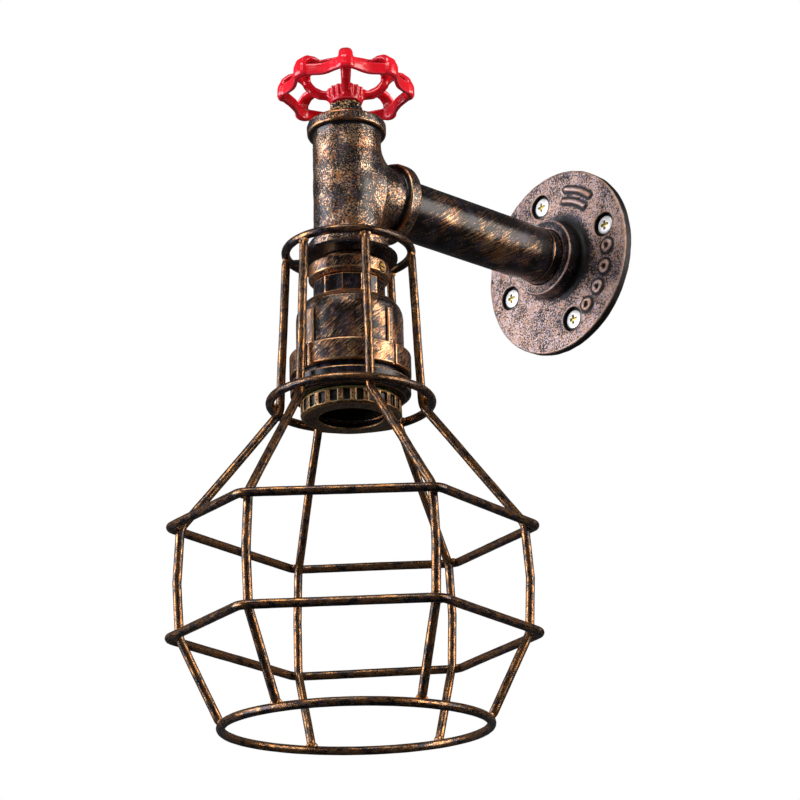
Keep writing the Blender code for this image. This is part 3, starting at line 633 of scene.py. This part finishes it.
def tee_piece():
    """Cast tee: two bodies joined by a fillet, rolled beads on the three ends, and stepped bores."""
    low, high = span("tee")
    end = high[2]
    branch_end = high[1] - AXIS_Y
    body_r, bead_r, bead_w, branch_bead_r, branch_bead_w = 15.9, 18.5, 5.4, 19.3, 6.2
    bore = 11.4
    run_socket, branch_socket = end - 13.0, branch_end - 10.5
    rounding = 1.0
    run_bead = turned([(0, end - bead_w), (bead_r, end - bead_w), (bead_r, end), (0, end)], rounding)
    side_back = branch_end - branch_bead_w
    side_outline = [(0, side_back), (branch_bead_r, side_back), (branch_bead_r, branch_end), (0, branch_end)]
    side_bead = turned(side_outline, rounding)

    def distance(x, y, z):
        run_r, side_r = np.hypot(x, y), np.hypot(x, z)
        run = np.maximum(run_r - body_r, np.abs(z) - end + rounding)
        side = np.maximum(np.maximum(side_r - body_r, y - branch_end + rounding), -y)
        body = blend(run, side, 0.3 + 8.7 * np.clip(y / 9, 0, 1))
        body = blend(body, run_bead(run_r, np.abs(z)), 1.2)
        body = blend(body, side_bead(side_r, y), 1.4)
        hollow = np.minimum(run_r - bore, np.maximum(run_r - PIPE_SOCKET_R, run_socket - np.abs(z)))
        side_socket = np.maximum(side_r - PIPE_SOCKET_R, branch_socket - y)
        side_hollow = np.minimum(np.maximum(side_r - bore, -y), side_socket)
        return cut(body, np.minimum(hollow, side_hollow), 0.5)

    low[1] -= AXIS_Y
    high[1] -= AXIS_Y
    mesh = cast_mesh("tee_casting", distance, low, high, 0.66, lumps=0.22, lump_size=4.5)
    placed("tee_casting", mesh, CAST, LAMP_AXIS, FIXED, ["tee"])


def collar():
    """The rough, speckled collar under the handwheel."""
    low, high = span("stem_collar")
    radius, bore, top = high[0], 3.3, high[2] - 0.7  # the lumps stay under the wheel's hub
    wall = turned([(bore, low[2]), (radius, low[2]), (radius, top), (bore, top)], 0.5)

    def distance(x, y, z):
        return wall(np.hypot(x, y), z)

    mesh = cast_mesh("collar", distance, (-radius, -radius, low[2]), (radius, radius, high[2]), 0.34, 0.8, 1.1)
    placed("collar", mesh, COLLAR, LAMP_AXIS, FIXED, ["stem_collar"])


LOBES, LOBE_PHASE = 8, math.radians(5)
SPOKES, SPOKE_PHASE = 4, math.radians(50)


def wheel():
    """Cast handwheel: a ribbon rim with eight points, arched knuckles up to an inner ring, S-shaped spokes."""
    low, high = span("handwheel")
    base, stem_bore = 47.6, 3.15
    hub_low, hub_high, hub_r, recess_r, recess_floor = low[2] - base, 3.8, 9.0, 5.2, -0.4
    point_r = (high[0] - low[0]) / 2 - 1.1
    rim_h, rim_t = 5.6, 1.15

    def distance(x, y, z):
        r, angle = polar(x, y)
        h = z - base
        turn = fold(angle, LOBES, LOBE_PHASE)
        share = np.abs(turn) / (TAU / LOBES)
        sag = point_r * (1 - 0.125 * np.sin(np.pi * share) ** 1.15)
        lift = 0.7 * np.cos(np.pi * np.clip(share * 2, 0, 1)) - 0.3
        rim = slab(np.abs(r - sag) * 0.96 - rim_t, np.abs(h - rim_h / 2 - lift * 0.4) - rim_h / 2, 0.8)
        across, ahead = r * np.sin(turn), r * np.cos(turn)
        arch = [(30.3, 1.5), (30.2, 5.0), (28.9, 8.2), (26.2, 10.4), (22.6, 11.2), (19.6, 10.5)]
        width = 3.4 - 0.05 * np.clip(h, 0, 12)
        knuckle = slab(chain(arch, ahead, h) - 1.6 + 0.05 * across**2, np.abs(across) - width - 0.2, 1.5)
        ring_r = 19.6 * (1 - 0.05 * np.sin(np.pi * share))
        crown = np.hypot((r - ring_r) * 0.72, (h - 10.0) * 1.05) - 1.5
        turn = fold(angle, SPOKES, SPOKE_PHASE)
        across, ahead = r * np.sin(turn), r * np.cos(turn)
        bow = [(19.2, 9.8), (18.0, 6.6), (15.6, 3.4), (12.2, 1.5), (6.0, 0.9)]
        width = 2.0 + 0.09 * np.clip(h, 0, 10)
        spoke = slab(chain(bow, ahead, h) - 2.1 + 0.05 * across**2, np.abs(across) - width, 1.7)
        flute = 0.5 * np.cos(16 * angle) * np.clip((h - hub_low - 0.8) / 2.0, 0, 1)
        taper = 0.13 * (hub_high - h)
        ends = np.abs(h - (hub_low + hub_high) / 2) - (hub_high - hub_low) / 2
        hub = slab(r - hub_r + 0.5 - flute + taper, ends, 0.6)
        body = blend(blend(rim, knuckle, 1.6), blend(crown, knuckle, 1.6), 0.6)
        body = blend(body, spoke, 1.8)
        body = blend(body, hub, 1.8)
        return cut(body, np.minimum(r - stem_bore, np.maximum(r - recess_r, recess_floor - h)), 0.4)

    size = point_r + 2.6
    corners = (-size, -size, low[2]), (size, size, high[2])
    mesh = cast_mesh("wheel", distance, *corners, 0.44, lumps=0.10, lump_size=3.0)
    placed("wheel", mesh, RED, LAMP_AXIS, "handwheel", ["handwheel"])


def lampholder_cap():
    """Cap with a hole for its set screw."""
    low, high = span("holder_cap")
    bore, neck_r, cap_r = SMALL_BORE_R, 13.0, high[0]
    shoulder = -39.5
    profile = [(bore, high[2]), (neck_r, high[2]), (neck_r, shoulder), (cap_r, shoulder), (cap_r, low[2] + 1.6),
               (cap_r - 1.8, low[2]), (bore, low[2])]
    wall = turned(profile, 0.5)
    screw_angle, screw_height = math.radians(15), -43.2

    def distance(x, y, z):
        r, angle = polar(x, y)
        turn = (angle - screw_angle + np.pi) % TAU - np.pi
        hole = np.maximum(np.hypot(r * np.sin(turn), z - screw_height) - 2.3, 11 - r * np.cos(turn))
        return cut(wall(r, z), hole, 0.4)

    mesh = cast_mesh("holder_cap_turned", distance, (-cap_r, -cap_r, low[2]), (cap_r, cap_r, high[2]), 0.55)
    placed("holder_cap_turned", mesh, BAND, LAMP_AXIS, FIXED, ["holder_cap"])


def lampholder_neck():
    """Twelve-sided neck."""
    low, high = span("holder_neck")
    flat_r, corner_r = 16.05, 17
    middle, half = (low[2] + high[2]) / 2, (high[2] - low[2]) / 2

    def distance(x, y, z):
        r, angle = polar(x, y)
        flats = r * np.cos(fold(angle, 12, math.radians(24))) - flat_r
        return cut(slab(flats, np.abs(z - middle) - half, 0.6), r - SMALL_BORE_R, 0.3)

    corners = (-corner_r, -corner_r, low[2]), (corner_r, corner_r, high[2])
    mesh = cast_mesh("holder_neck_turned", distance, *corners, 0.55)
    placed("holder_neck_turned", mesh, NECK, LAMP_AXIS, FIXED, ["holder_neck"])


STRIPS, STRIP_PHASE = 4, math.radians(5.5)  # the shell's raised strips, each over a seam of the band
SHELL_R, BAND_TOP = 24.3, -82.8


def lampholder_shell():
    """Domed shell with four raised strips."""
    low, high = span("holder_shell")
    bore, wall, top, bottom = SMALL_BORE_R, 2.2, high[2], low[2]
    inner = SHELL_R - wall
    dome = [(bore, top), (SHELL_R * 0.66, top)]
    for step in range(1, 7):
        angle = step / 6 * math.pi / 2
        dome.append((SHELL_R * (0.66 + 0.34 * math.sin(angle)), top - 9.0 * (1 - math.cos(angle))))
    inside = [(inner, bottom), (inner, -66.0), (inner * 0.9, -60.6), (inner * 0.74, -59.0), (bore, -59.0)]
    profile = dome + [(SHELL_R, bottom)] + inside
    skin = turned(profile, 0.35)
    strip_top, strip_bottom = -65.6, BAND_TOP + 0.3

    def distance(x, y, z):
        r, angle = polar(x, y)
        turn = fold(angle, STRIPS, STRIP_PHASE)
        middle, half = (strip_top + strip_bottom) / 2, (strip_top - strip_bottom) / 2
        strip = box(r * np.cos(turn) - SHELL_R - 0.1, r * np.sin(turn), z - middle, (1.1, 1.7, half), 0.5)
        return blend(skin(r, z), strip, 0.5)

    # More copper on the shoulder, partly rubbing and partly a painted highlight of the light from above, and
    # darker towards and under the band.
    def shoulder_and_band_edge_tone(x, y, z):
        return 0.9 * np.clip((z - top + 4.5) / 2.5, 0, 1) - 0.5 * np.clip((BAND_TOP + 3 - z) / 3, 0, 1)

    size = SHELL_R + 1.3
    corners = (-size, -size, bottom), (size, size, top)
    mesh = cast_mesh("holder_shell_turned", distance, *corners, 0.6, shade=shoulder_and_band_edge_tone)
    placed("holder_shell_turned", mesh, HOLDER, LAMP_AXIS, FIXED, ["holder_shell"])


def clamp_band():
    """Band around the shell, with a seam under each strip."""
    low, high = span("clamp_band")
    radius, bore = high[0], SHELL_R + 0.3
    wall = turned([(bore, low[2]), (radius, low[2]), (radius, high[2]), (bore, high[2])], 0.7)

    def distance(x, y, z):
        r, angle = polar(x, y)
        turn = fold(angle, STRIPS, STRIP_PHASE)
        seam = np.maximum(np.abs(r * np.cos(turn) - radius - 0.2) - 1.0, np.abs(r * np.sin(turn)) - 0.8)
        return cut(wall(r, z), seam, 0.4)

    mesh = cast_mesh("band_turned", distance, (-radius, -radius, low[2]), (radius, radius, high[2]), 0.5)
    placed("band_turned", mesh, BAND, LAMP_AXIS, FIXED, ["clamp_band"])


def skirt():
    """Skirt with the threaded barrel that the ring nut runs on."""
    low, high = span("holder_skirt")
    top, bottom = high[2], low[2]
    edge, radius, barrel_r, bore = -103.2, high[0], 18.6, 15.6
    profile = [(bore, top), (radius, top), (radius, edge + 2.0), (radius - 2.4, edge), (barrel_r, edge),
               (barrel_r, bottom), (bore, bottom)]
    wall = turned(profile, 0.5)

    def distance(x, y, z):
        r, angle = polar(x, y)
        thread = 0.18 * (np.sin(TAU * z / 2.0 - angle) - 1) * (r < barrel_r + 1) * (z < edge - 0.5)
        return wall(r - thread, z)

    mesh = cast_mesh("skirt_turned", distance, (-radius, -radius, bottom), (radius, radius, top), 0.55)
    placed("skirt_turned", mesh, SKIRT, LAMP_AXIS, FIXED, ["holder_skirt"])


def ring_nut():
    """Ring nut with square notches and a rounded lip around the mouth."""
    low, high = span("ring_nut")
    top, bottom, radius = high[2], low[2], (high[0] - low[0]) / 2
    bore, mouth, step = 18.85, 14.6, -109.6
    notches, notch_z = 24, -107.9
    profile = [(bore, top), (radius, top), (radius, bottom + 1.2), (radius - 1.2, bottom), (mouth, bottom),
               (mouth, step), (bore, step)]
    wall = turned(profile, 0.4)

    def distance(x, y, z):
        r, angle = polar(x, y)
        turn = fold(angle, notches)
        notch = box(r * np.cos(turn) - radius, r * np.sin(turn), z - notch_z, (1.2, 1.65, 2.6), 0.5)
        return cut(wall(r, z), notch, 0.3)

    def patina_and_painted_shade(x, y, z):
        """Painted shade in the notches and on the faces inside the outer rim above the lip, and a worn lower lip.
        """
        r = np.hypot(x, y)
        return -1.6 * np.clip((radius - 0.35 - r) / 0.6, 0, 1) * (z > bottom + 0.9) + 0.3 * (z < bottom + 0.4)

    corners = (-radius, -radius, bottom), (radius, radius, top)
    mesh = cast_mesh("ring_nut_turned", distance, *corners, 0.46, shade=patina_and_painted_shade)
    placed("ring_nut_turned", mesh, NUT, LAMP_AXIS, "ring_nut", ["ring_nut"])


# -------------------------------------------------------------------------------------------------- cage


def swept(name, route, closed=False):
    """A round wire along the points, in mm, a little uneven, with copper kept on its upper and inner sides and
    painted shade on its under and outer sides.
    """
    sides, cut_end = 16, 0.72
    route = np.array([tuple(point) for point in route], float)
    count = len(route)
    if closed:
        ahead, behind = np.roll(route, -1, 0), np.roll(route, 1, 0)
    else:
        ahead, behind = np.vstack([route[1:], route[-1:]]), np.vstack([route[:1], route[:-1]])
    along = ahead - behind
    along /= np.linalg.norm(along, axis=1)[:, None]
    side = np.zeros(along.shape)
    side[0] = np.cross(along[0], (0.3, 0.5, 0.81))
    side[0] /= np.linalg.norm(side[0])
    for i in range(1, count):
        side[i] = side[i - 1] - along[i] * np.dot(side[i - 1], along[i])
        side[i] /= np.linalg.norm(side[i])
    other = np.cross(along, side)
    twist = 0.0
    if closed:
        last = side[-1] - along[0] * np.dot(side[-1], along[0])
        twist = math.atan2(np.dot(last, other[0]), np.dot(last, side[0]))
    points, flow, copper_showing = [], [], []
    travelled = np.concatenate([[0], np.cumsum(np.linalg.norm(np.diff(route, axis=0), axis=1))])
    for i, here in enumerate(route):
        grow = 1.0 if closed or 0 < i < count - 1 else cut_end
        uneven = 0.985 + 0.025 * noise.noise(Vector(here / 5.0))
        reach_out = math.hypot(here[0], here[1])
        # The up and inward side stays copper from rubbing; the under and outer sides go dark, a painted shade
        # under the wire.
        lit_and_rubbed_side = np.array((here[0] / reach_out * -0.2, here[1] / reach_out * -0.2, 0.6))
        for k in range(sides):
            angle = TAU * k / sides - twist * i / count
            reach = WIRE_R * grow * uneven
            facing = math.cos(angle) * side[i] + math.sin(angle) * other[i]
            points.append(here + reach * facing)
            flow.append((WIRE_R * math.cos(angle), WIRE_R * math.sin(angle), travelled[i]))
            copper_showing.append(np.dot(facing, lit_and_rubbed_side))
    faces = []
    for i in range(count if closed else count - 1):
        j = (i + 1) % count
        for k in range(sides):
            m = (k + 1) % sides
            faces.append((i * sides + k, i * sides + m, j * sides + m, j * sides + k))
    if not closed:
        faces.append(tuple(range(sides))[::-1])
        faces.append(tuple((count - 1) * sides + k for k in range(sides)))
    wear_and_painted_light = 0.45 * np.array(copper_showing) - 0.04
    return made_mesh(name, np.array(points), faces, wear_and_painted_light=wear_and_painted_light, flow=np.array(flow))


def bent(points, radius, step=2.2, closed=False):
    """The same route with its corners bent to the radius, in even steps."""
    corners = [Vector(point) for point in points]
    count = len(corners)
    made = []
    for i, here in enumerate(corners):
        if not closed and i in (0, count - 1):
            made.append([here])
            continue
        before = (corners[i - 1] - here).normalized()
        after = (corners[(i + 1) % count] - here).normalized()
        half = before.angle(after) / 2
        reach = radius / math.tan(half)
        centre = here + (before + after).normalized() * (radius / math.sin(half))
        start = (here + before * reach - centre).normalized()
        end = (here + after * reach - centre).normalized()
        made.append([centre + start.slerp(end, k / 8) * radius for k in range(9)])
    route = []
    for i, group in enumerate(made):
        route += group
        if i == count - 1 and not closed:
            break
        ahead = made[(i + 1) % count][0]
        parts = int((ahead - group[-1]).length / step)
        route += [group[-1].lerp(ahead, k / (parts + 1)) for k in range(1, parts + 1)]
    return route


def around(radius, angle, height):
    """A point around the lamp axis."""
    return Vector((radius * math.cos(angle), radius * math.sin(angle), height))


def wobble(route, amount):
    """Hand-bent wire is never quite true."""
    return [point + amount * Vector(noise.noise_vector(point / 38.0)) for point in route]


# Angle of each rib, in degrees, at the neck, the hexagons' corners and the mouth
RIB_ANGLES = (
    (44, 45, 42),
    (97, 103.5, 100),
    (168, 160, 160),
    (224, 235, 234),
    (276, 285, 286),
    (335, 345.5, 347),
)
HEX_R, HEX_BEND, RIB_BEND, RIB_BOW = 80.5, 7.0, 9.0, 1.4
LEAN, LEAN_ANGLE = 2.6, math.radians(157)  # the upper hexagon rises this much towards this side
GAP = 0.3


def cage():
    """Three rings, two hexagons and six ribs, with a weld where they meet."""
    rings = ("cage_top_ring", "cage_neck_ring", "cage_mouth_ring")
    hexagons = ("cage_upper_hexagon", "cage_lower_hexagon")
    heights, radii = {}, {}
    for node in rings + hexagons:
        low, high = span(node)
        heights[node] = (low[2] + high[2]) / 2
        radii[node] = (high[0] - low[0]) / 2 - WIRE_R
    for node in rings:
        steps = round(TAU * radii[node] / 2.4)
        route = [around(radii[node], TAU * k / steps, heights[node]) for k in range(steps)]
        mesh = swept(node + "_wire", wobble(route, 0.08), closed=True)
        placed(node + "_wire", mesh, WIRE, LAMP_AXIS, FIXED, [node])
    for node in hexagons:
        lean = LEAN if node == "cage_upper_hexagon" else 0
        corners = []
        for _, corner, _ in RIB_ANGLES:
            angle = math.radians(corner)
            corners.append(around(HEX_R, angle, heights[node] + lean * math.cos(angle - LEAN_ANGLE)))
        mesh = swept(node + "_wire", wobble(bent(corners, HEX_BEND, closed=True), 0.12), closed=True)
        placed(node + "_wire", mesh, WIRE, LAMP_AXIS, FIXED, [node])
    step_in = 2 * WIRE_R + GAP
    corner_in = step_in + HEX_BEND * 0.17
    joints = []
    for number, angles in enumerate(RIB_ANGLES, 1):
        neck, corner, mouth = (math.radians(angle) for angle in angles)
        top, neck_z = heights["cage_top_ring"], heights["cage_neck_ring"]
        upper, lower = heights["cage_upper_hexagon"], heights["cage_lower_hexagon"]
        mouth_z = heights["cage_mouth_ring"]
        route = [
            around(radii["cage_top_ring"], neck, top - WIRE_R * 0.7),
            around(radii["cage_neck_ring"] - step_in, neck, neck_z - 2.6),
            around(HEX_R - corner_in, corner, upper),
            around(HEX_R - corner_in + RIB_BOW, corner, (upper + lower) / 2),
            around(HEX_R - corner_in, corner, lower),
            around(radii["cage_mouth_ring"], mouth, mouth_z + WIRE_R * 0.8),
        ]
        node = f"cage_rib_{number}"
        mesh = swept(node + "_wire", wobble(bent(route, RIB_BEND), 0.3))
        placed(node + "_wire", mesh, WIRE, LAMP_AXIS, FIXED, [node])
        joints += [
            around(radii["cage_top_ring"], neck, top - WIRE_R * 1.05),
            around(radii["cage_neck_ring"] - WIRE_R - GAP / 2, neck, neck_z),
            around(HEX_R - corner_in / 2 - 0.6, corner, upper + LEAN * math.cos(corner - LEAN_ANGLE)),
            around(HEX_R - corner_in / 2 - 0.6, corner, lower),
            around(radii["cage_mouth_ring"], mouth, mouth_z + WIRE_R * 1.05),
        ]
    welds(joints)


def bead(at):
    """The distance of a weld bead: three balls in a row across the rib, the middle one the largest."""
    side = Vector((-at.y, at.x, 0)).normalized()

    def ball(x, y, z, step):
        centre = at + side * 1.3 * step
        return np.sqrt((x - centre.x) ** 2 + (y - centre.y) ** 2 + (z - centre.z) ** 2) - 1.55 + 0.2 * abs(step)

    def distance(x, y, z):
        return blend(blend(ball(x, y, z, -1), ball(x, y, z, 0), 0.8), ball(x, y, z, 1), 0.8)

    return distance


def welds(joints):
    """A small uneven bead of weld at each joint of the cage, all as one piece."""
    beads = bmesh.new()
    size = Vector((3.4, 3.4, 2.0))
    for at in joints:
        mesh = cast_mesh("bead", bead(at), at - size, at + size, 0.42, lumps=0.5, lump_size=1.6)
        beads.from_mesh(mesh)
        bpy.data.meshes.remove(mesh)
    mesh = bpy.data.meshes.new("weld_beads")
    beads.to_mesh(mesh)
    beads.free()
    placed("weld_beads", mesh, WELD, LAMP_AXIS, FIXED)


# ------------------------------------------------------------------------------------- carried-over nodes


def carried_over():
    """CAD nodes that are shown as they are, with their finished materials."""
    finishes = {
        DARK_CAST: ("top_plug", "lower_bush", "cage_plate"),
        NICKEL: ("valve_stem", "wheel_washer", "wheel_nut"),
        BRASS: ("lamp_nipple", "nipple_nut_upper", "nipple_nut_lower", "live_terminal", "neutral_terminal",
                "set_screw"),
        DARK_BRASS: ("screw_shell", "centre_contact", "contact_rivet"),
        CERAMIC: ("insulator",),
        FIBRE: ("plate_gasket", "ring_washer"),
        BROWN: ("live_lead",),
        BLUE: ("neutral_lead",),
    }
    for finish, names in finishes.items():
        for name in names:
            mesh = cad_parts[name].data
            mesh.materials.clear()
            mesh.materials.append(finish)


# ------------------------------------------------------------------------------------------------ studio


CAMERA_AT = Vector((0.6735, -0.7138, -0.4126))
CAMERA_TURN = Euler((math.radians(109.287), math.radians(1.333), math.radians(48.704)))
CAMERA_LENS = 94.26
LIGHTS_AIM = Vector((0, -0.12, -0.08))
FLOOR_Z = -1.6  # a camera that looks up from below the lamp stays above it


def camera():
    """The main view."""
    made = bpy.data.cameras.new("camera")
    made.lens = CAMERA_LENS
    made.sensor_width = 36
    made.clip_start = 0.01
    eye = bpy.data.objects.new("camera", made)
    eye.location = CAMERA_AT
    eye.rotation_euler = CAMERA_TURN
    bpy.context.scene.collection.objects.link(eye)
    bpy.context.scene.camera = eye


def softbox(name, right, up, toward, size, watts, tint=(1, 1, 1)):
    """A large soft light that faces the lamp, placed in metres from it along the main camera's axes."""
    at = LIGHTS_AIM + CAMERA_TURN.to_matrix() @ Vector((right, up, toward))
    lamp = bpy.data.lights.new(name, "AREA")
    lamp.shape = "RECTANGLE"
    lamp.size, lamp.size_y = size
    lamp.energy = watts
    lamp.color = tint
    box_light = bpy.data.objects.new(name, lamp)
    box_light.location = at
    box_light.rotation_euler = (at - LIGHTS_AIM).to_track_quat("Z", "Y").to_euler()
    bpy.context.scene.collection.objects.link(box_light)


def studio():
    """White surroundings with a faint fill, three softboxes, and a pale floor that doesn't light the lamp."""
    world = bpy.data.worlds.new("studio")
    bpy.context.scene.world = world
    world.use_nodes = True
    tree = world.node_tree
    shown = tree.nodes["Background"]
    shown.inputs["Color"].default_value = (1, 1, 1, 1)
    shown.inputs["Strength"].default_value = 1.0
    fill = tree.nodes.new("ShaderNodeBackground")
    fill.inputs["Color"].default_value = (0.93, 0.95, 1, 1)
    fill.inputs["Strength"].default_value = 0.06
    path = tree.nodes.new("ShaderNodeLightPath")
    either = tree.nodes.new("ShaderNodeMixShader")
    tree.links.new(path.outputs["Is Camera Ray"], either.inputs[0])
    tree.links.new(fill.outputs[0], either.inputs[1])
    tree.links.new(shown.outputs[0], either.inputs[2])
    tree.links.new(either.outputs[0], tree.nodes["World Output"].inputs["Surface"])

    softbox("left_box", -1.25, 0.15, 0.20, (1.0, 1.2), 27, (0.87, 0.90, 1))
    softbox("right_box", 1.15, 0.38, 0.25, (0.9, 0.9), 19, (1, 0.93, 0.86))
    softbox("top_box", -0.35, 1.2, 0.35, (0.8, 0.6), 9, (1, 0.97, 0.94))

    bpy.ops.mesh.primitive_grid_add(x_subdivisions=2, y_subdivisions=2, size=60, location=(0, 0, FLOOR_Z))
    floor = bpy.context.object
    floor.name = "studio_floor"
    shine = {"Emission_Color": (1.0, 1.0, 1.0), "Emission_Strength": 0.85}
    pale = plain("studio_floor", (0.86, 0.86, 0.86), (0.84, 0.84, 0.84), 400.0, 0.6, 0.0, 0.0, **shine)
    floor.data.materials.append(pale)
    floor.visible_diffuse = False
    floor.visible_glossy = False

    view = bpy.context.scene.view_settings
    view.view_transform = "Standard"


flange()
flange_marks()
wall_screws()
arm()
tee_piece()
collar()
wheel()
lampholder_cap()
lampholder_neck()
lampholder_shell()
clamp_band()
skirt()
ring_nut()
cage()
carried_over()
camera()
studio()
